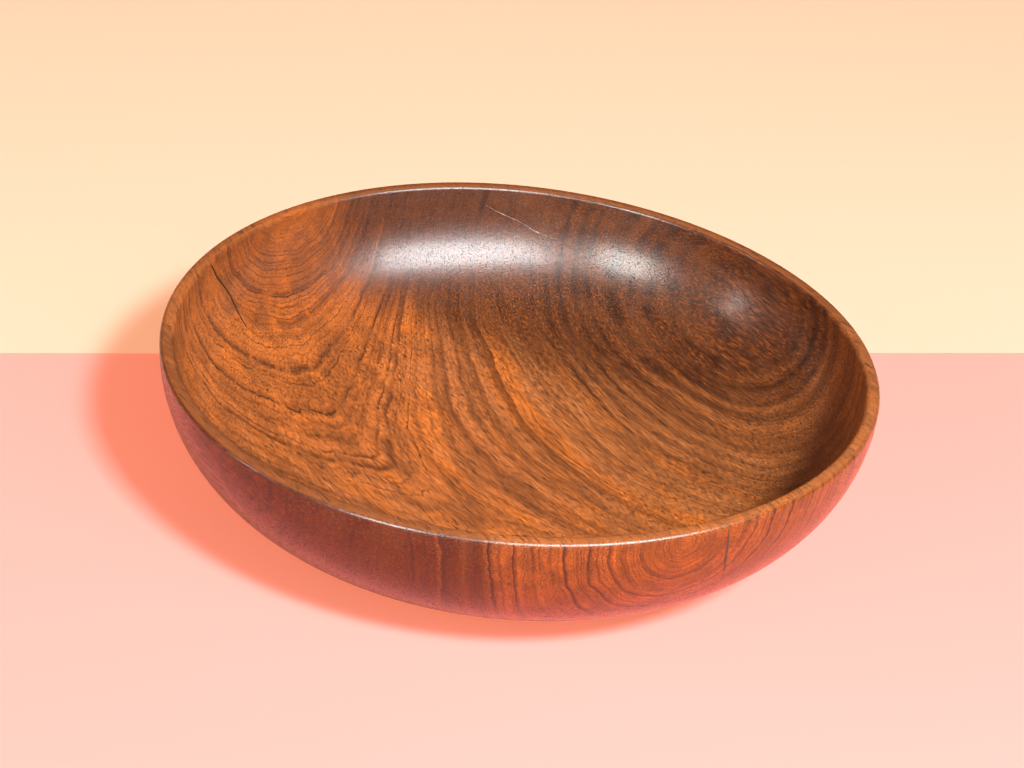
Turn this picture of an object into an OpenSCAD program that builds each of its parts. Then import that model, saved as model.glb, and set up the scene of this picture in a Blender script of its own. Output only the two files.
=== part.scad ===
// Carved wooden bowl: one block of hardwood worked to a thin, even wall, with the
// drying checks that opened in it filled, and a pin knot, before the finish went on.
// Millimetres, +Z up. The origin is the centre of the foot's resting face and -Y is
// the front. Azimuths are measured from +X towards +Y, and drops from the rim down.

/* [Bowl] */
// Outside diameter at the rim
rim_d = 250; // [200:1:320]
// Height from the resting face of the foot to the top of the rim
bowl_h = 62; // [60:0.5:80]
// Thickness of the wall at the rim
rim_w = 5; // [4:0.1:7]
// Radius of the belly, the round of the outside wall seen in section
belly_r = 52; // [40:0.5:54]
// Thickness of the wall low down, where it turns into the base
low_wall_t = 8; // [6:0.5:10]
// Thickness of the base on the axis, above the foot's resting face
base_t = 8; // [6:0.5:10]
// Drop from the rim at which the walls start to turn inwards
shoulder = 2; // [2:0.1:4]
// Radius that softens the outer edge of the rim
outer_edge_r = 1.9; // [0.5:0.1:1.9]
// Radius that softens the inner edge of the rim
inner_edge_r = 1.9; // [0.5:0.1:1.9]

/* [Foot] */
// Diameter of the foot
foot_d = 92; // [70:1:120]
// Width of the ring that the foot stands on
foot_ring_w = 8; // [5:0.5:12]
// Depth of the recess inside the ring
recess_h = 1.6; // [0.5:0.1:2.5]

/* [Filled checks] */
// Gap left all round a filler in its slot, which the glue takes up
glue_gap = 0.03; // [0.02:0.01:0.1]
// Azimuth of the front check, in the outside of the wall
front_check_az = -55; // [-90:1:0]
// Drop from the rim to the middle of the front check
front_check_drop = 13; // [13:0.5:20]
// Length of the front check
front_check_l = 21; // [12:1:22]
// Width of the front check at its middle
front_check_w = 0.9; // [0.5:0.1:2]
// Depth of the front check into the wall
front_check_t = 2.2; // [1:0.1:2.5]
// Lean of the front check from upright
front_check_lean = 11; // [-20:1:20]
// Azimuth of the left check, in the inside of the wall
left_check_az = 159; // [140:1:220]
// Drop from the rim to the middle of the left check
left_check_drop = 15; // [15:0.5:22]
// Length of the left check
left_check_l = 26; // [12:1:27]
// Width of the left check at its middle
left_check_w = 0.7; // [0.5:0.1:2]
// Depth of the left check into the wall
left_check_t = 2; // [1:0.1:2.5]
// Lean of the left check from upright
left_check_lean = -20; // [-30:1:30]
// Azimuth of the hairline back check, in the inside of the wall
back_check_az = 90; // [75:1:100]
// Drop from the rim to the middle of the back check
back_check_drop = 14.5; // [13:0.5:20]
// Length of the back check
back_check_l = 38; // [20:1:44]
// Width of the back check at its middle
back_check_w = 0.4; // [0.3:0.1:1]
// Depth of the back check into the wall
back_check_t = 1.4; // [1:0.1:2.5]
// Lean of the back check from upright
back_check_lean = -70; // [-85:1:-60]

/* [Pin knot] */
// Azimuth of the pin knot, in the inside of the wall
knot_az = 104.5; // [102:0.5:120]
// Drop from the rim to the middle of the pin knot
knot_drop = 3; // [3:0.1:6]
// Diameter of the pin knot
knot_d = 1; // [0.8:0.1:2]
// Depth of the pin knot into the wall
knot_t = 2.5; // [1:0.1:2.8]

/* [Hidden] */
$fn = 180;
// Facets of the large, nearly flat circles
flat_fn = 720;
// Straight stretches in each half of a check's bowed side
bow_steps = 3;
rim_r = rim_d / 2;
mouth_r = rim_r - rim_w;
// Radius of the cove, the round of the inside wall seen in section
cove_r = belly_r - low_wall_t;
turn_z = bowl_h - shoulder;
foot_r = foot_d / 2;
// How far a cutting tool starts and ends clear of the wood
clear = 4;

// Radius of a base arc, centred on the axis with its lowest point at low_z, that
// runs tangent into a corner arc of radius corner_r centred at (corner_x, turn_z)
function base_arc_r(corner_x, corner_r, low_z) =
    (pow(corner_x, 2) + pow(turn_z - low_z, 2) - pow(corner_r, 2))
    / (2 * (turn_z - low_z - corner_r));

// Half section of a solid dish: an upright side, a corner arc and a shallow base arc
module dish_section(side_r, corner_r, low_z) {
    corner_x = side_r - corner_r;
    base_r = base_arc_r(corner_x, corner_r, low_z);
    meet_x = base_r * corner_x / (base_r - corner_r);
    meet_z = low_z + base_r - sqrt(pow(base_r, 2) - pow(meet_x, 2));
    difference() {
        intersection() {
            translate([0, low_z + base_r]) circle(r = base_r, $fn = flat_fn);
            translate([0, low_z - clear]) square([side_r, bowl_h - low_z + clear]);
        }
        polygon([[corner_x, turn_z], [side_r + clear, turn_z], [side_r + clear, low_z - clear],
            [meet_x, low_z - clear], [meet_x, meet_z]]);
    }
    intersection() {
        translate([corner_x, turn_z]) circle(r = corner_r);
        translate([corner_x, low_z - clear]) square([corner_r, turn_z - low_z + clear]);
    }
}

// The outside of the bowl as a solid, sunk evenly by depth
module outside(depth = 0) {
    rotate_extrude() dish_section(rim_r - depth, belly_r - depth, depth);
}

// The hollow of the bowl as a solid, grown evenly by depth
module hollow(depth = 0) {
    rotate_extrude() dish_section(mouth_r + depth, cove_r + depth, base_t - depth);
}

// Half section of what rounding takes off the rim's edge; at is the edge's radius from
// the axis and side is 1 where the wood lies outside it, -1 where it lies inside
module edge_waste(at, round_r, side) {
    middle = at + side * round_r;
    difference() {
        translate([min(at, middle), bowl_h - round_r]) square(round_r);
        translate([middle, bowl_h - round_r]) circle(r = round_r);
    }
}

// Point of a check's bowed side, with along from -1 at one tip to 1 at the other
function bowed_point(half_w, half_l, along) = [half_w * (1 - pow(along, 2)), half_l * along];

// Plate with a pointed, bowed outline that runs along the radius at an azimuth, as a
// check runs into the wood; grow widens it all round
module check_plate(az, drop, length, width, lean, grow) {
    swell = 1 + 2 * grow / width;
    half_w = swell * width / 2;
    half_l = swell * length / 2;
    up_side = [for (k = [-bow_steps : bow_steps]) bowed_point(half_w, half_l, k / bow_steps)];
    down_side = [for (k = [1 - bow_steps : bow_steps - 1])
        bowed_point(-half_w, -half_l, k / bow_steps)];
    rotate([0, 0, az]) translate([mouth_r - cove_r / 2, 0, bowl_h - drop])
        rotate([lean, 0, 0]) rotate([90, 0, 90])
            linear_extrude(cove_r / 2 + rim_w + clear) polygon(concat(up_side, down_side));
}

module front_check(grow = 0) {
    check_plate(front_check_az, front_check_drop, front_check_l, front_check_w,
        front_check_lean, grow);
}

module left_check(grow = 0) {
    check_plate(left_check_az, left_check_drop, left_check_l, left_check_w,
        left_check_lean, grow);
}

module back_check(grow = 0) {
    check_plate(back_check_az, back_check_drop, back_check_l, back_check_w,
        back_check_lean, grow);
}

module knot_pin(grow = 0) {
    rotate([0, 0, knot_az]) translate([mouth_r - clear, 0, bowl_h - knot_drop])
        rotate([0, 90, 0]) cylinder(d = knot_d + 2 * grow, h = rim_w + clear, $fn = 48);
}

module bowl() {
    color([0.55, 0.25, 0.11]) difference() {
        rotate_extrude() difference() {
            union() {
                dish_section(rim_r, belly_r, 0);
                square([foot_r, base_t]);
            }
            dish_section(mouth_r, cove_r, base_t);
            square([foot_r - foot_ring_w, recess_h]);
            edge_waste(rim_r, outer_edge_r, -1);
            edge_waste(mouth_r, inner_edge_r, 1);
        }
        difference() {
            front_check(glue_gap);
            outside(front_check_t + glue_gap);
        }
        intersection() {
            left_check(glue_gap);
            hollow(left_check_t + glue_gap);
        }
        intersection() {
            back_check(glue_gap);
            hollow(back_check_t + glue_gap);
        }
        intersection() {
            knot_pin(glue_gap);
            hollow(knot_t + glue_gap);
        }
    }
}

module front_check_filler() {
    color([0.2, 0.09, 0.05]) difference() {
        intersection() {
            front_check();
            outside();
        }
        outside(front_check_t);
    }
}

module left_check_filler() {
    color([0.14, 0.07, 0.04]) difference() {
        intersection() {
            left_check();
            hollow(left_check_t);
        }
        hollow();
    }
}

module back_check_filler() {
    color([0.6, 0.45, 0.34]) difference() {
        intersection() {
            back_check();
            hollow(back_check_t);
        }
        hollow();
    }
}

module pin_knot() {
    color([0.1, 0.05, 0.03]) difference() {
        intersection() {
            knot_pin();
            hollow(knot_t);
        }
        hollow();
    }
}

bowl();
front_check_filler();
left_check_filler();
back_check_filler();
pin_knot();
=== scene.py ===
from math import asin, atan2, cos, pi, radians, sin, sqrt
import bmesh
import bpy
from mathutils import Matrix, Quaternion, Vector


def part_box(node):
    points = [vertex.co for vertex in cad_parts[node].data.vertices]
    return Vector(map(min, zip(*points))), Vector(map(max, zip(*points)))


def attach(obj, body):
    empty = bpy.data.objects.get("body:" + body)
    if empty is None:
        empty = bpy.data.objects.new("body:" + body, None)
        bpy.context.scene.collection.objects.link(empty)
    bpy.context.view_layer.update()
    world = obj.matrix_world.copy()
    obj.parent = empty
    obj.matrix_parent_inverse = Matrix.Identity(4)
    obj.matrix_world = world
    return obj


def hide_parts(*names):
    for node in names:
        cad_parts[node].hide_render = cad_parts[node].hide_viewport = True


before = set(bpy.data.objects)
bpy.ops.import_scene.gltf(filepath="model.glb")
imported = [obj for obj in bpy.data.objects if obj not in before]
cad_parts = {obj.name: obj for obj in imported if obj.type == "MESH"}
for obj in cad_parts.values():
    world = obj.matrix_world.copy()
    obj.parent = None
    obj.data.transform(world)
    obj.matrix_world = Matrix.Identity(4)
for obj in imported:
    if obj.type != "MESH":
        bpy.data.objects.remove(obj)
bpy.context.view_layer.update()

# --- The bowl -------------------------------------------------------------------
# One block of red-brown hardwood, hollowed out on a lathe to an even wall, then oiled
# and polished. The grain runs from the back left to the front right, and the growth
# rings wrap round the tree's pith, which passed over the left half, level with the rim.
bowl_low, bowl_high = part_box("bowl")
rim_r = (bowl_high.x - bowl_low.x) / 2
bowl_h = bowl_high.z
rim_w = 0.005
belly_r = 0.052
low_wall_t = 0.008
base_t = 0.008
shoulder = 0.002
outer_edge_r = 0.0019
inner_edge_r = 0.0019
foot_r = 0.046
foot_ring_w = 0.008
recess_h = 0.0016
foot_edge_r = 0.0006
steps_round = 288
same_point = 0.00001
corner_reach = 0.0001
corner_edge_l = 0.002
mouth_r = rim_r - rim_w
cove_r = belly_r - low_wall_t
turn_z = bowl_h - shoulder
belly_x = rim_r - belly_r
cove_x = mouth_r - cove_r


def base_arc_r(corner_x, corner_r, low_z):
    """Radius of the shallow arc that runs tangent into a corner arc."""
    drop = turn_z - low_z
    return (corner_x**2 + drop**2 - corner_r**2) / (2 * (drop - corner_r))


outside_base_r = base_arc_r(belly_x, belly_r, 0)
inside_base_r = base_arc_r(cove_x, cove_r, base_t)
outside_meet = asin(belly_x / (outside_base_r - belly_r))
inside_meet = asin(cove_x / (inside_base_r - cove_r))

# The wood went slightly out of true as it dried: the rim rises at the two ends of
# the grain and falls at the two sides across it.
rim_rise = 0.0012
rise_azimuth = radians(126)


def dried(point):
    """Where a point of the true round bowl ended up after drying."""
    azimuth = atan2(point.y, point.x)
    rise = rim_rise * point.z / bowl_h * cos(2 * (azimuth - rise_azimuth))
    return Vector((point.x, point.y, point.z + rise))


def put_together(name, shape):
    """Makes an object of a finished shape, with its place in its mesh."""
    mesh = bpy.data.meshes.new(name)
    shape.to_mesh(mesh)
    shape.free()
    made = bpy.data.objects.new(name, mesh)
    bpy.context.collection.objects.link(made)
    return made


section = bmesh.new()
tip = section.verts.new((0, 0, base_t))


def turn(vert, centre_x, centre_z, angle, steps):
    """Draws an arc of the section on from its last point."""
    swept = bmesh.ops.spin(
        section,
        geom=[vert],
        cent=(centre_x, 0, centre_z),
        axis=(0, 1, 0),
        angle=angle,
        steps=steps,
    )
    return swept["geom_last"][0]


def line_to(vert, x, z, steps=1):
    """Draws a straight stretch of the section on from its last point."""
    start = vert.co.copy()
    for k in range(steps):
        share = (k + 1) / steps
        moved = section.verts.new(start.lerp(Vector((x, 0, z)), share))
        section.edges.new((vert, moved))
        vert = moved
    return vert


tip = turn(tip, 0, base_t + inside_base_r, -inside_meet, 30)
tip = turn(tip, cove_x, turn_z, -(pi / 2 - inside_meet), 30)
tip = line_to(tip, mouth_r, bowl_h - inner_edge_r)
tip = turn(tip, mouth_r + inner_edge_r, bowl_h - inner_edge_r, pi / 2, 8)
tip = line_to(tip, rim_r - outer_edge_r, bowl_h, 3)
tip = turn(tip, rim_r - outer_edge_r, bowl_h - outer_edge_r, pi / 2, 8)
tip = line_to(tip, rim_r, turn_z)
tip = turn(tip, belly_x, turn_z, pi / 2 - outside_meet, 34)
foot_angle = asin(foot_r / outside_base_r)
tip = turn(tip, 0, outside_base_r, outside_meet - foot_angle, 16)
tip = line_to(tip, foot_r, 0, 2)
tip = line_to(tip, foot_r - foot_ring_w, 0, 4)
tip = line_to(tip, foot_r - foot_ring_w, recess_h)
tip = line_to(tip, 0, recess_h, 12)
bmesh.ops.spin(
    section,
    geom=section.verts[:] + section.edges[:],
    cent=(0, 0, 0),
    axis=(0, 0, 1),
    angle=2 * pi,
    steps=steps_round,
    use_merge=True,
)
bmesh.ops.remove_doubles(section, verts=section.verts, dist=same_point)
foot_corners = [(foot_r, 0), (foot_r - foot_ring_w, 0), (foot_r - foot_ring_w, recess_h)]
foot_corners.append((foot_r, outside_base_r * (1 - cos(foot_angle))))


def on_corner(vert):
    """True for a vertex that lies on one of the foot's turned corners."""
    radius = sqrt(vert.co.x**2 + vert.co.y**2)
    off = [(abs(radius - x), abs(vert.co.z - z)) for x, z in foot_corners]
    return any(aside < corner_reach and above < corner_reach for aside, above in off)


corner_edges = [e for e in section.edges if on_corner(e.verts[0]) and on_corner(e.verts[1])]
corner_edges = [e for e in corner_edges if abs(e.verts[0].co.z - e.verts[1].co.z) < same_point]
corner_edges = [e for e in corner_edges if e.calc_length() < corner_edge_l]
bmesh.ops.bevel(
    section,
    geom=corner_edges,
    offset=foot_edge_r,
    segments=3,
    profile=0.5,
    affect="EDGES",
    material=-1,
)
bmesh.ops.recalc_face_normals(section, faces=section.faces)
for vert in section.verts:
    vert.co = dried(vert.co)
for face in section.faces:
    face.smooth = True
bowl = put_together("carved_bowl", section)
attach(bowl, "root")
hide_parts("bowl")

wood = bpy.data.materials.new("polished_hardwood")
wood.use_nodes = True
bowl.data.materials.append(wood)
grain_turn = radians(52)
pith_side = -24
pith_up = 60
ring_wander = ((130, 45, 6, 3.1), (36, 11, 2.8, 7.7), (8, 2.2, 1.1, 5.2))
ring_reach = 160
untinted = (1.0, 1.0, 1.0)
late_wood = (0.018, 0.006, 0.003)


def step(finish, kind, inputs, **settings):
    """Adds one node to a finish and feeds its sockets with numbers or other sockets."""
    made = finish.node_tree.nodes.new(kind)
    for name, value in settings.items():
        setattr(made, name, value)
    for key, value in inputs.items():
        if isinstance(value, bpy.types.NodeSocket):
            finish.node_tree.links.new(value, made.inputs[key])
        else:
            made.inputs[key].default_value = value
    return made


def maths(finish, operation, *values, clamp=False):
    """The result of one sum on numbers and sockets."""
    inputs = dict(enumerate(values))
    made = step(finish, "ShaderNodeMath", inputs, operation=operation, use_clamp=clamp)
    return made.outputs[0]


def spread(finish, value, low, high, to_low=0.0, to_high=1.0):
    """Eases a value from one range to another and holds it at the ends."""
    inputs = {0: value, 1: low, 2: high, 3: to_low, 4: to_high}
    made = step(finish, "ShaderNodeMapRange", inputs, interpolation_type="SMOOTHSTEP")
    return made.outputs[0]


def wood_noise(finish, along, across, detail=2.0, offset=0.0):
    """Smooth noise whose patches are so many millimetres along and across the grain."""
    size = (1 / along, 1 / across, 1 / across)
    inputs = {0: finish["grain"], 1: size, 2: (offset, offset * 1.7, offset * 0.6)}
    made = step(finish, "ShaderNodeVectorMath", inputs, operation="MULTIPLY_ADD")
    inputs = {"Vector": made.outputs[0], "Scale": 1.0, "Detail": detail, "Roughness": 0.55}
    return step(finish, "ShaderNodeTexNoise", inputs).outputs[0]


def ring_noise(finish, width, detail=2.0, offset=0.0):
    """Noise that changes only from ring to ring, with bands so many millimetres wide."""
    inputs = {"W": maths(finish, "MULTIPLY_ADD", finish["rings"], 1 / width, offset)}
    inputs.update({"Scale": 1.0, "Detail": detail, "Roughness": 0.6})
    return step(finish, "ShaderNodeTexNoise", inputs, noise_dimensions="1D").outputs[0]


def colours(finish, value, stops):
    """A row of wood colours, each at its place between 0 and 1."""
    made = step(finish, "ShaderNodeValToRGB", {0: value})
    ramp = made.color_ramp
    while len(ramp.elements) < len(stops):
        ramp.elements.new(0.5)
    for element, (place, colour) in zip(ramp.elements, stops):
        element.position = place
        element.color = (*colour, 1)
    return made.outputs[0]


def mixed(finish, amount, first, second, blend="MIX"):
    """Two colours mixed or multiplied by an amount."""
    made = step(finish, "ShaderNodeMix", {0: amount}, data_type="RGBA", blend_type=blend)
    for key, value in ((6, first), (7, second)):
        if isinstance(value, bpy.types.NodeSocket):
            finish.node_tree.links.new(value, made.inputs[key])
        else:
            made.inputs[key].default_value = (*value, 1)
    return made.outputs[2]


class Finish(dict):
    """A material's nodes, with the shared sockets of the wood figure kept by name."""

    def __init__(self, material):
        super().__init__()
        self.node_tree = material.node_tree
        self.shader = material.node_tree.nodes["Principled BSDF"]


def wood_figure(finish):
    """Growth rings round the pith, in millimetres, with x along the grain."""
    place = step(finish, "ShaderNodeTexCoord", {}).outputs["Object"]
    inputs = {"Vector": place, "Rotation": (0, 0, grain_turn), "Scale": (1000, 1000, 1000)}
    finish["place"] = place
    finish["grain"] = step(finish, "ShaderNodeMapping", inputs).outputs[0]
    split = step(finish, "ShaderNodeSeparateXYZ", {0: finish["grain"]})
    along, across, up = split.outputs
    finish["along"] = along
    finish["across"] = across
    finish["up"] = up
    side = maths(finish, "SUBTRACT", across, pith_side)
    finish["side"] = side
    # The pith bows towards the front left as it crosses the left half of the bowl.
    bend = maths(finish, "DIVIDE", maths(finish, "ADD", along, 50), 75)
    bend = maths(finish, "SUBTRACT", 1, maths(finish, "MULTIPLY", bend, bend))
    bend = maths(finish, "POWER", maths(finish, "MAXIMUM", bend, 0), 2)
    near = maths(finish, "SUBTRACT", 1, maths(finish, "DIVIDE", side, 60), clamp=True)
    bend = maths(finish, "MULTIPLY", bend, near)
    out = maths(finish, "MULTIPLY_ADD", bend, 16, side)
    rise = maths(finish, "SUBTRACT", up, pith_up)
    out_squared = maths(finish, "POWER", out, 2)
    rings = maths(finish, "SQRT", maths(finish, "MULTIPLY_ADD", rise, rise, out_squared))
    # It also climbs a little towards the back left end of the grain.
    close = maths(finish, "SUBTRACT", 1, maths(finish, "DIVIDE", rings, 50), clamp=True)
    lift = maths(finish, "MULTIPLY", close, spread(finish, along, -80, -20, 10, 0))
    rise = maths(finish, "SUBTRACT", rise, lift)
    rings = maths(finish, "SQRT", maths(finish, "MULTIPLY_ADD", rise, rise, out_squared))
    # Far out on the back right the rings lean over and run aslant to the grain.
    far = maths(finish, "DIVIDE", maths(finish, "MAXIMUM", out, 0), 142)
    lean = maths(finish, "MULTIPLY", maths(finish, "SUBTRACT", up, 40), far)
    rings = maths(finish, "MULTIPLY_ADD", lean, -0.35, rings)
    drift = maths(finish, "MULTIPLY", along, maths(finish, "MULTIPLY", far, far))
    rings = maths(finish, "MULTIPLY_ADD", drift, -0.28, rings)
    # Towards the back left the rings grow wider, as they do near a tree's foot.
    taper = maths(finish, "SQRT", maths(finish, "MULTIPLY_ADD", along, along, 900))
    taper = maths(finish, "SUBTRACT", along, taper)
    rings = maths(finish, "MULTIPLY_ADD", taper, 0.075, rings)
    # No ring is even: each wanders widely, and waves and kinks a little.
    for length, width, amount, offset in ring_wander:
        wander = maths(finish, "SUBTRACT", wood_noise(finish, length, width, 2.0, offset), 0.5)
        rings = maths(finish, "MULTIPLY_ADD", wander, amount, rings)
    finish["rings"] = rings


def ring_lines(finish, spacing, start, offset):
    """Dark late-wood lines of uneven strength and spacing, each with one sharp side."""
    loose = maths(finish, "MULTIPLY", ring_noise(finish, spacing * 4, 1.0, offset), 3)
    count = maths(finish, "MULTIPLY_ADD", finish["rings"], 1 / spacing, loose)
    whole = maths(finish, "FLOOR", count)
    part = maths(finish, "FRACT", count)
    chance = step(finish, "ShaderNodeTexWhiteNoise", {"W": whole}, noise_dimensions="1D").outputs[0]
    rising = spread(finish, part, start, 0.9)
    falling = spread(finish, part, 0.93, 1.0, 1.0, 0.0)
    line = maths(finish, "MULTIPLY", rising, falling)
    return maths(finish, "MULTIPLY", line, maths(finish, "POWER", chance, 1.2))


def ring_marks(finish, marks):
    """Lasting dark rings, each at its distance from the pith, sharp on the outer side."""
    reach = maths(finish, "DIVIDE", finish["rings"], ring_reach)
    made = step(finish, "ShaderNodeValToRGB", {0: reach})
    ramp = made.color_ramp
    stops = [(0.0, 0.0)]
    for distance, width, strength in marks:
        stops += [((distance - width) / ring_reach, 0.0), (distance / ring_reach, strength)]
        stops += [((distance + width * 0.5) / ring_reach, 0.0)]
    while len(ramp.elements) < len(stops):
        ramp.elements.new(0.5)
    for element, (place, strength) in zip(ramp.elements, stops):
        element.position = place
        element.color = (strength, strength, strength, 1)
    return made.outputs[0]


hardwood = Finish(wood)
wood_figure(hardwood)
rings = hardwood["rings"]
share = maths(hardwood, "DIVIDE", rings, ring_reach)
patches = wood_noise(hardwood, 70, 26, 3.0, 11.0)
share = maths(hardwood, "MULTIPLY_ADD", maths(hardwood, "SUBTRACT", patches, 0.5), 0.10, share)
ground = colours(
    hardwood,
    share,
    [
        (0.00, (0.24, 0.068, 0.014)),
        (0.24, (0.24, 0.069, 0.016)),
        (0.36, (0.23, 0.074, 0.023)),
        (0.55, (0.195, 0.070, 0.023)),
        (0.68, (0.160, 0.057, 0.019)),
        (0.85, (0.110, 0.036, 0.012)),
    ],
)
broad = ring_noise(hardwood, 9, 3.0, 2.0)
broad = spread(hardwood, broad, 0.38, 0.62, 0.3, 0.0)
dull_wood = (0.06, 0.018, 0.007)
ground = mixed(hardwood, broad, ground, dull_wood)
warm = ring_noise(hardwood, 16, 2.0, 20.0)
warm = maths(hardwood, "MULTIPLY", warm, wood_noise(hardwood, 40, 8, 2.0, 30.0))
warm = spread(hardwood, warm, 0.24, 0.36, 0.0, 0.6)
warm = maths(hardwood, "MULTIPLY", warm, spread(hardwood, rings, 80, 105, 1.0, 0.1))
orange_wood = (0.30, 0.080, 0.012)
ground = mixed(hardwood, warm, ground, orange_wood)
towards_back = maths(hardwood, "MULTIPLY", hardwood["along"], -0.6)
towards_back = maths(hardwood, "MULTIPLY_ADD", hardwood["across"], 0.8, towards_back)
heart = maths(hardwood, "MULTIPLY_ADD", ring_noise(hardwood, 5, 2.0, 17.0), 30, towards_back)
heart = maths(hardwood, "MULTIPLY_ADD", wood_noise(hardwood, 40, 12, 2.0, 77.0), 20, heart)
heart = spread(hardwood, heart, 82, 110, 0.0, 0.90)
back_heartwood = (0.030, 0.009, 0.004)
ground = mixed(hardwood, heart, ground, back_heartwood)
near_side = spread(hardwood, hardwood["side"], -60, -35, 1.0, 0.0)
outer_wood = maths(hardwood, "MULTIPLY_ADD", ring_noise(hardwood, 5, 2.0, 13.0), 40, rings)
outer_wood = spread(hardwood, outer_wood, 68, 84)
near_dark = maths(hardwood, "MULTIPLY", near_side, outer_wood)
near_dark = maths(hardwood, "MULTIPLY", near_dark, 0.94)
near_heartwood = (0.042, 0.009, 0.004)
ground = mixed(hardwood, near_dark, ground, near_heartwood)
fading = spread(hardwood, wood_noise(hardwood, 30, 7, 2.0, 41.0), 0.36, 0.52, 0.25, 1.0)
inner = spread(hardwood, rings, 55, 70, 1.0, 0.35)
inner = maths(hardwood, "MULTIPLY", fading, inner)
thin = maths(hardwood, "MULTIPLY", ring_lines(hardwood, 2.6, 0.78, 1.0), inner)
ground = mixed(hardwood, thin, ground, late_wood)
back_part = spread(hardwood, hardwood["along"], -50, 60, 1.0, 0.35)
outer = maths(hardwood, "MULTIPLY", spread(hardwood, rings, 50, 75), back_part)
wide = maths(hardwood, "MULTIPLY", ring_lines(hardwood, 3.9, 0.4, 4.0), outer)
wide = maths(hardwood, "MULTIPLY", wide, 0.95)
ground = mixed(hardwood, wide, ground, late_wood)
flecks = spread(hardwood, wood_noise(hardwood, 5, 0.5, 2.0, 91.0), 0.5, 0.62, 0.0, 0.2)
golden_fleck = (0.34, 0.095, 0.014)
ground = mixed(hardwood, flecks, ground, golden_fleck)
thin_marks = ring_marks(hardwood, [
    (9.5, 0.6, 0.5),
    (14.0, 1.1, 0.85),
    (17.2, 0.6, 0.45),
    (20.6, 1.0, 0.8),
    (24.0, 0.9, 0.7),
    (30.0, 1.1, 0.85),
    (36.5, 0.9, 0.6),
    (40.5, 1.0, 0.7),
    (45.0, 1.3, 0.7),
    (50.5, 0.9, 0.6),
])
thin_marks = maths(hardwood, "MULTIPLY", thin_marks, fading)
thin_ring = (0.022, 0.007, 0.004)
ground = mixed(hardwood, thin_marks, ground, thin_ring)
wide_marks = ring_marks(hardwood, [
    (57.5, 1.6, 0.45),
    (62.0, 1.5, 0.45),
    (70.5, 2.4, 0.60),
    (82.0, 1.8, 0.50),
    (93.0, 2.0, 0.45),
    (100.5, 2.6, 0.60),
    (105.0, 2.8, 0.85),
    (110.5, 2.4, 0.80),
    (114.5, 2.0, 0.85),
    (121.5, 3.0, 0.70),
])
wide_marks = maths(hardwood, "MULTIPLY", wide_marks, back_part)
ground = mixed(hardwood, wide_marks, ground, late_wood)
eye_marks = ring_marks(hardwood, [
    (123.0, 2.4, 0.6),
    (126.5, 1.5, 0.75),
    (130.0, 2.2, 0.95),
    (134.0, 1.6, 0.75),
    (138.5, 1.5, 0.5),
])
ground = mixed(hardwood, eye_marks, ground, late_wood)
shade = spread(hardwood, wood_noise(hardwood, 26, 8, 3.0, 61.0), 0.42, 0.62, 0.0, 0.45)
brown_wood = (0.085, 0.028, 0.010)
ground = mixed(hardwood, shade, ground, brown_wood)
fine = ring_lines(hardwood, 1.3, 0.45, 9.0)
fine = maths(hardwood, "MULTIPLY", fine, 0.55)
fine_ring = (0.028, 0.009, 0.004)
ground = mixed(hardwood, fine, ground, fine_ring)
end_shade = spread(hardwood, hardwood["along"], -112, -82, 0.55, 0.0)
end_tint = (0.50, 0.40, 0.34)
shaded = mixed(hardwood, 1.0, ground, end_tint, "MULTIPLY")
ground = mixed(hardwood, end_shade, ground, shaded)
streaks = wood_noise(hardwood, 10, 0.32, 4.0, 55.0)
streak_tints = [(0.32, (0.40, 0.36, 0.34)), (0.5, untinted), (0.68, (1.55, 1.45, 1.2))]
ground = mixed(hardwood, 1.0, ground, colours(hardwood, streaks, streak_tints), "MULTIPLY")
mottle = wood_noise(hardwood, 2.6, 0.5, 3.0, 33.0)
mottle_tints = [(0.32, (0.82, 0.78, 0.74)), (0.5, untinted), (0.68, (1.22, 1.16, 1.02))]
ground = mixed(hardwood, 1.0, ground, colours(hardwood, mottle, mottle_tints), "MULTIPLY")
facing = step(hardwood, "ShaderNodeNewGeometry", {}).outputs["Normal"]
from_axis = {0: hardwood["place"], 1: (1, 1, -0.05)}
from_axis = step(hardwood, "ShaderNodeVectorMath", from_axis, operation="MULTIPLY").outputs[0]
outward = {0: facing, 1: from_axis}
outward = step(hardwood, "ShaderNodeVectorMath", outward, operation="DOT_PRODUCT").outputs["Value"]
outside = spread(hardwood, outward, 0.02, 0.06)
# Painted shade: the outward-facing wall is darkened and warmed, standing in for the weaker light that
# reaches it.
painted_outside_shade = (0.66, 0.60, 0.36)
shaded_outside = mixed(hardwood, 1.0, ground, painted_outside_shade, "MULTIPLY")
ground = mixed(hardwood, outside, ground, shaded_outside)
outside_lines = maths(hardwood, "MULTIPLY", ring_lines(hardwood, 4.0, 0.66, 21.0), outside)
clear_of_pith = spread(hardwood, rings, 14, 34, 0.2, 1.1)
outside_lines = maths(hardwood, "MULTIPLY", outside_lines, clear_of_pith, clamp=True)
outside_ring = (0.020, 0.005, 0.003)
ground = mixed(hardwood, outside_lines, ground, outside_ring)
# Painted light: the upward-facing top of the rim is painted lighter, as painted light and sheen where
# the light falls on it.
upward = step(hardwood, "ShaderNodeSeparateXYZ", {0: facing}).outputs[2]
rim_top = spread(hardwood, upward, 0.55, 0.9)
rim_top = maths(hardwood, "MULTIPLY", rim_top, spread(hardwood, hardwood["up"], 58, 60))
rim_top = maths(hardwood, "MULTIPLY", rim_top, 0.5)
painted_rim_light = (0.17, 0.058, 0.020)
ground = mixed(hardwood, rim_top, ground, painted_rim_light)


def pores(finish, length, width, reach, offset):
    """Open pores: short dark dashes along the grain, dots where the grain runs out."""
    inputs = {0: finish["grain"], 1: (1 / length, 1 / width, 1 / width), 2: (offset, offset, offset)}
    place = step(finish, "ShaderNodeVectorMath", inputs, operation="MULTIPLY_ADD").outputs[0]
    cells = step(finish, "ShaderNodeTexVoronoi", {"Vector": place, "Scale": 1.0})
    return spread(finish, cells.outputs["Distance"], reach * 0.7, reach, 1.0, 0.0)


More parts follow.
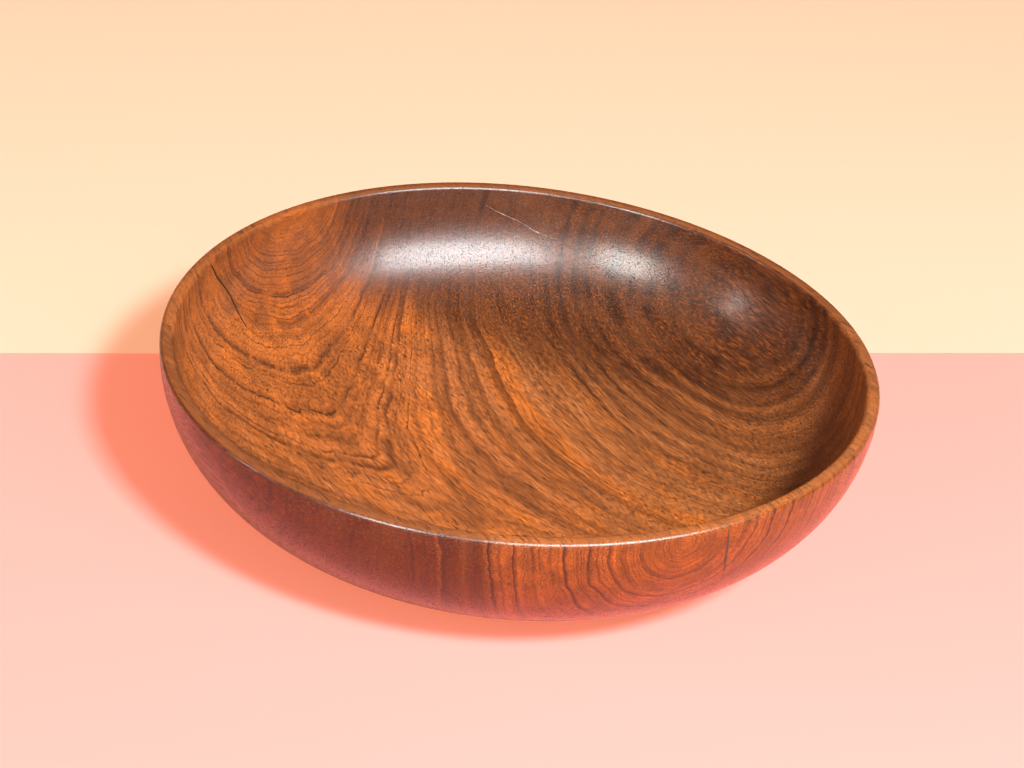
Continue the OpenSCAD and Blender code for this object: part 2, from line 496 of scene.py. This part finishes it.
crowd = spread(hardwood, ring_noise(hardwood, 2.4, 2.0, 70.0), 0.42, 0.6, 0.25, 1.0)
open_pores = maths(hardwood, "MULTIPLY", pores(hardwood, 14, 0.75, 0.30, 3.3), crowd)
small_pores = pores(hardwood, 8, 0.5, 0.26, 8.8)
open_pores = maths(hardwood, "MAXIMUM", open_pores, maths(hardwood, "MULTIPLY", small_pores, 0.6))
pore_dark = (0.010, 0.004, 0.002)
ground = mixed(hardwood, maths(hardwood, "MULTIPLY", open_pores, 0.92), ground, pore_dark)
shader = hardwood.shader
wood.node_tree.links.new(ground, shader.inputs["Base Color"])
gloss = spread(hardwood, streaks, 0.3, 0.7, 0.31, 0.25)
gloss = maths(hardwood, "MULTIPLY_ADD", open_pores, 0.35, gloss)
wood.node_tree.links.new(gloss, shader.inputs["Roughness"])
height = maths(hardwood, "MULTIPLY", open_pores, -1)
height = maths(hardwood, "MULTIPLY_ADD", streaks, 0.5, height)
fuzz = wood_noise(hardwood, 1.1, 0.32, 2.0, 47.0)
height = maths(hardwood, "MULTIPLY_ADD", fuzz, 0.7, height)
pore_depth = 0.0001
bump = {"Strength": 0.6, "Distance": pore_depth, "Height": height}
bump = step(hardwood, "ShaderNodeBump", bump)
wood.node_tree.links.new(bump.outputs[0], shader.inputs["Normal"])
shader.inputs["Specular IOR Level"].default_value = 0.28
shader.inputs["Coat Weight"].default_value = 0.08
shader.inputs["Coat Roughness"].default_value = 0.15

# --- The dark fillings in the two larger checks ------------------------------------
# The block cracked along the grain while it dried. The front crack was filled with dark glue
# and wood dust, left a hair proud, and polished with the rest of the bowl. The left crack
# stands partly open: its dark strip is partly dark glue and partly painted shade in the gap.
check_t = 0.0005
check_lift = 0.00004


def wall_point(azimuth, depth, outside, lift):
    """A point on the wall, so far round and so far below the rim, lifted off the wood."""
    centre, radius = (belly_x, belly_r) if outside else (cove_x, cove_r)
    below = max(depth - shoulder, 0)
    run = sqrt(radius**2 - below**2)
    stretch = 1 + (lift if outside else -lift) / radius
    reach = centre + run * stretch
    level = bowl_h - depth + below * (1 - stretch)
    return Vector((reach * cos(azimuth), reach * sin(azimuth), level))


def between(path, share):
    """The azimuth, depth and width at a share of the way along a path."""
    place = share * (len(path) - 1)
    k = min(int(place), len(path) - 2)
    part = place - k
    return [a + (b - a) * part for a, b in zip(path[k], path[k + 1])]


def wall_strip(name, path, outside, wobble):
    """A thin filling in the wall, pointed at its ends, with slightly ragged sides."""
    strip = bmesh.new()
    bmesh.ops.create_grid(strip, x_segments=2, y_segments=60, size=0.5)
    for vert in strip.verts:
        aside, share = vert.co.x, vert.co.y + 0.5
        azimuth, depth, width = between(path, share)
        ahead = between(path, min(share + 0.02, 1))
        behind = between(path, max(share - 0.02, 0))
        round_by = radians(ahead[0] - behind[0]) * mouth_r * 1000
        down_by = ahead[1] - behind[1]
        length = max(sqrt(round_by**2 + down_by**2), 0.001)
        ragged = wobble * (sin(share * 61) + 0.6 * sin(share * 107 + 1 + aside * 3))
        off = aside * width + ragged
        turn_by = off * down_by / length / (mouth_r * 1000)
        sunk = (depth - off * round_by / length) / 1000
        place = wall_point(radians(azimuth) + turn_by, sunk, outside, check_lift)
        vert.co = dried(place)
    bmesh.ops.recalc_face_normals(strip, faces=strip.faces)
    bmesh.ops.solidify(strip, geom=strip.faces[:], thickness=check_t)
    bmesh.ops.recalc_face_normals(strip, faces=strip.faces)
    made = put_together(name, strip)
    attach(made, "root")
    return made


front_path = [
    (-55.9, 1.9, 0.3),
    (-55.75, 5.0, 0.75),
    (-55.55, 8.0, 0.95),
    (-55.4, 11.0, 0.85),
    (-55.1, 14.0, 0.7),
    (-54.7, 17.0, 0.8),
    (-54.3, 20.0, 0.45),
    (-53.7, 24.0, 0.05),
]
front_check = wall_strip("front_check", front_path, True, 0.07)
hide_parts("front_check_filler")
left_path = [
    (162.3, 1.9, 0.08),
    (161.3, 5.4, 0.22),
    (160.4, 8.8, 0.50),
    (159.2, 12.2, 0.42),
    (158.2, 15.4, 0.25),
    (157.6, 18.8, 0.16),
    (157.3, 24.0, 0.10),
    (157.2, 29.5, 0.04),
]
# The left strip is partly painted shade, where the crack stands open and dark.
left_check = wall_strip("left_check", left_path, False, 0.06)
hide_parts("left_check_filler")


def fine_stuff(material, along, across, offset, stops, smooth, rough):
    """Gives a material small specks of colour and gloss, and returns its finish."""
    material.use_nodes = True
    finish = Finish(material)
    inputs = {0: step(finish, "ShaderNodeTexCoord", {}).outputs["Object"], 1: (1000, 1000, 1000)}
    finish["grain"] = step(finish, "ShaderNodeVectorMath", inputs, operation="MULTIPLY").outputs[0]
    specks = wood_noise(finish, along, across, 3.0, offset)
    finish["specks"] = specks
    links = finish.node_tree.links
    links.new(colours(finish, specks, stops), finish.shader.inputs["Base Color"])
    links.new(spread(finish, specks, 0.3, 0.7, smooth, rough), finish.shader.inputs["Roughness"])
    return finish


def gritty(finish):
    """Adds a fine grit to the surface of a filling."""
    inputs = {"Strength": 0.4, "Distance": 0.00004, "Height": finish["specks"]}
    grit = step(finish, "ShaderNodeBump", inputs)
    finish.node_tree.links.new(grit.outputs[0], finish.shader.inputs["Normal"])


filling = bpy.data.materials.new("dark_glue_dust_and_crack_shade")
dust_and_shade_colours = [(0.35, (0.010, 0.004, 0.003)), (0.7, (0.045, 0.016, 0.008))]
dark_fill = fine_stuff(filling, 0.6, 0.6, 4.0, dust_and_shade_colours, 0.35, 0.6)
gritty(dark_fill)
front_check.data.materials.append(filling)
left_check.data.materials.append(filling)

# --- The pale filling in the hairline check ---------------------------------------
# A crack no wider than a hair runs slantwise down the inside of the back wall. Pale
# wax and polishing dust have settled in it, with dark gaps between.
back_path = [
    (99.4, 7.4, 0.06),
    (97.5, 9.6, 0.22),
    (95.0, 11.5, 0.3),
    (92.6, 13.3, 0.26),
    (90.0, 15.9, 0.34),
    (87.6, 17.3, 0.36),
    (85.6, 18.2, 0.24),
    (81.5, 20.7, 0.05),
]
back_check = wall_strip("back_check", back_path, False, 0.05)
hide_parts("back_check_filler")
wax = bpy.data.materials.new("pale_wax_and_dust")
wax_colours = [
    (0.42, (0.020, 0.008, 0.005)),
    (0.55, (0.12, 0.050, 0.025)),
    (0.68, (0.34, 0.20, 0.13)),
]
pale_fill = fine_stuff(wax, 1.6, 0.9, 6.0, wax_colours, 0.7, 0.45)
gritty(pale_fill)
back_check.data.materials.append(wax)

# --- The pin knot -----------------------------------------------------------------
# The stub of a twig no thicker than a pin, cut across by the lathe just under the
# rim. It is harder and darker than the wood round it and stands a hair proud.
knot_r = 0.00075
knot_h = 0.0006
knot_azimuth = radians(104.5)
knot_depth = 0.003
knot = bmesh.new()
bmesh.ops.create_cone(
    knot, cap_ends=True, segments=24, radius1=knot_r, radius2=knot_r * 0.85, depth=knot_h
)
knot_top = [e for e in knot.edges if all(v.co.z > 0 for v in e.verts)]
bmesh.ops.bevel(
    knot, geom=knot_top, offset=knot_r * 0.3, segments=3, profile=0.5, affect="EDGES", material=-1
)
for vert in knot.verts:
    vert.co.y *= 1 + 0.25 * sin(vert.co.x / knot_r * 2.4)
    vert.co.z -= knot_h / 2 - check_lift
inward = Vector((-cos(knot_azimuth), -sin(knot_azimuth), 0))
bmesh.ops.transform(knot, matrix=inward.to_track_quat("Z", "Y").to_matrix().to_4x4(), verts=knot.verts)
bmesh.ops.translate(knot, verts=knot.verts, vec=wall_point(knot_azimuth, knot_depth, False, 0))
for vert in knot.verts:
    vert.co = dried(vert.co)
bmesh.ops.recalc_face_normals(knot, faces=knot.faces)
knot_end = put_together("pin_knot_end", knot)
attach(knot_end, "root")
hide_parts("pin_knot")
knot_wood = bpy.data.materials.new("pin_knot_wood")
knot_colours = [(0.35, (0.008, 0.003, 0.002)), (0.7, (0.05, 0.018, 0.009))]
knot_finish = fine_stuff(knot_wood, 0.25, 0.25, 2.0, knot_colours, 0.7, 0.9)
knot_finish.shader.inputs["Specular IOR Level"].default_value = 0.08
knot_end.data.materials.append(knot_wood)

# --- Floor, light and camera ------------------------------------------------------
# Pale pink paper on the table with a cream sheet laid on it behind the bowl. The key
# lies in front on the right and only lights. The card and the window only show as
# reflections, so the shadows stay crisp under a broad highlight.
floor_size = 3
floor_colour = (0.44, 0.11, 0.115)
# The floor's and the sheet's glow colours are painted fill light, given off by the paper itself.
floor_painted_fill = (0.70, 0.18, 0.09)
sheet_size = 1.5
sheet_lift = 0.0004
sheet_turn = radians(11.7)
sheet_edge = 0.101
sheet_colour = (0.15, 0.17, 0.14)
sheet_painted_fill = (0.85, 0.32, 0.16)


def paper(name, colour, painted_fill):
    """Matt paper with a painted glow: it gives off a little light of its own, as painted fill light in
    its shadows.
    """
    made = bpy.data.materials.new(name)
    made.use_nodes = True
    surface = made.node_tree.nodes["Principled BSDF"].inputs
    surface["Base Color"].default_value = (*colour, 1)
    surface["Emission Color"].default_value = (*painted_fill, 1)
    surface["Emission Strength"].default_value = 1
    surface["Roughness"].default_value = 0.9
    return made


floor_shape = bmesh.new()
bmesh.ops.create_grid(floor_shape, x_segments=1, y_segments=1, size=floor_size)
floor = put_together("floor", floor_shape)
floor.data.materials.append(paper("pale_floor", floor_colour, floor_painted_fill))

sheet_shape = bmesh.new()
bmesh.ops.create_grid(sheet_shape, x_segments=1, y_segments=1, size=sheet_size)
bmesh.ops.translate(sheet_shape, verts=sheet_shape.verts, vec=(0, sheet_size, sheet_lift))
sheet_turned = Matrix.Rotation(sheet_turn, 4, "Z")
bmesh.ops.transform(sheet_shape, matrix=sheet_turned, verts=sheet_shape.verts)
bmesh.ops.translate(sheet_shape, verts=sheet_shape.verts, vec=(0, sheet_edge, 0))
sheet = put_together("backdrop_sheet", sheet_shape)
sheet.data.materials.append(paper("cream_sheet", sheet_colour, sheet_painted_fill))

rim_centre = Vector((0, 0, bowl_h))


def add_light(name, azimuth, elevation, distance, width, height, watts, colour):
    """A soft rectangular light that faces the middle of the rim."""
    data = bpy.data.lights.new(name, "AREA")
    data.shape = "RECTANGLE"
    data.size = width
    data.size_y = height
    data.energy = watts
    data.color = colour
    light = bpy.data.objects.new(name, data)
    bpy.context.collection.objects.link(light)
    a, e = radians(azimuth), radians(elevation)
    away = Vector((cos(a) * cos(e), sin(a) * cos(e), sin(e)))
    light.location = rim_centre + away * distance
    light.rotation_mode = "QUATERNION"
    light.rotation_quaternion = away.to_track_quat("Z", "Y")
    return light


key = add_light("key", -63, 43, 1.6, 0.20, 0.20, 116, (1.0, 0.97, 0.93))
key.visible_glossy = False
card = add_light("card", -62, 36, 1.8, 1.80, 0.72, 200, (0.90, 0.97, 1.0))
card.visible_diffuse = False
window = add_light("window", -124, 24, 1.6, 0.50, 0.56, 46, (0.93, 1.0, 0.97))
window.visible_diffuse = False
add_light("door", -169, 15, 1.6, 0.10, 0.60, 6, (1.0, 0.98, 0.96))
bounce = add_light("bounce", -162, 4, 1.2, 0.80, 0.30, 20, (1.0, 0.60, 0.30))
bounce.visible_glossy = False

world = bpy.data.worlds.new("studio")
world.use_nodes = True
room = world.node_tree.nodes["Background"].inputs
room["Color"].default_value = (1.0, 0.52, 0.33, 1)
room["Strength"].default_value = 0.30
world.cycles_visibility.glossy = False
bpy.context.scene.world = world

camera_rise = radians(30.3)
camera_roll = radians(5.84)
camera_distance = 0.8985
camera_aim = Vector((-0.0021, 0, bowl_h - 0.0169))
camera_data = bpy.data.cameras.new("camera")
camera_data.lens = 90
camera_data.sensor_width = 36
camera = bpy.data.objects.new("camera", camera_data)
bpy.context.collection.objects.link(camera)
towards_camera = Vector((0, -cos(camera_rise), sin(camera_rise)))
camera.location = camera_aim + towards_camera * camera_distance
camera.rotation_mode = "QUATERNION"
upright = towards_camera.to_track_quat("Z", "Y")
camera.rotation_quaternion = upright @ Quaternion((0, 0, 1), camera_roll)
bpy.context.scene.camera = camera
bpy.context.scene.view_settings.view_transform = "Standard"
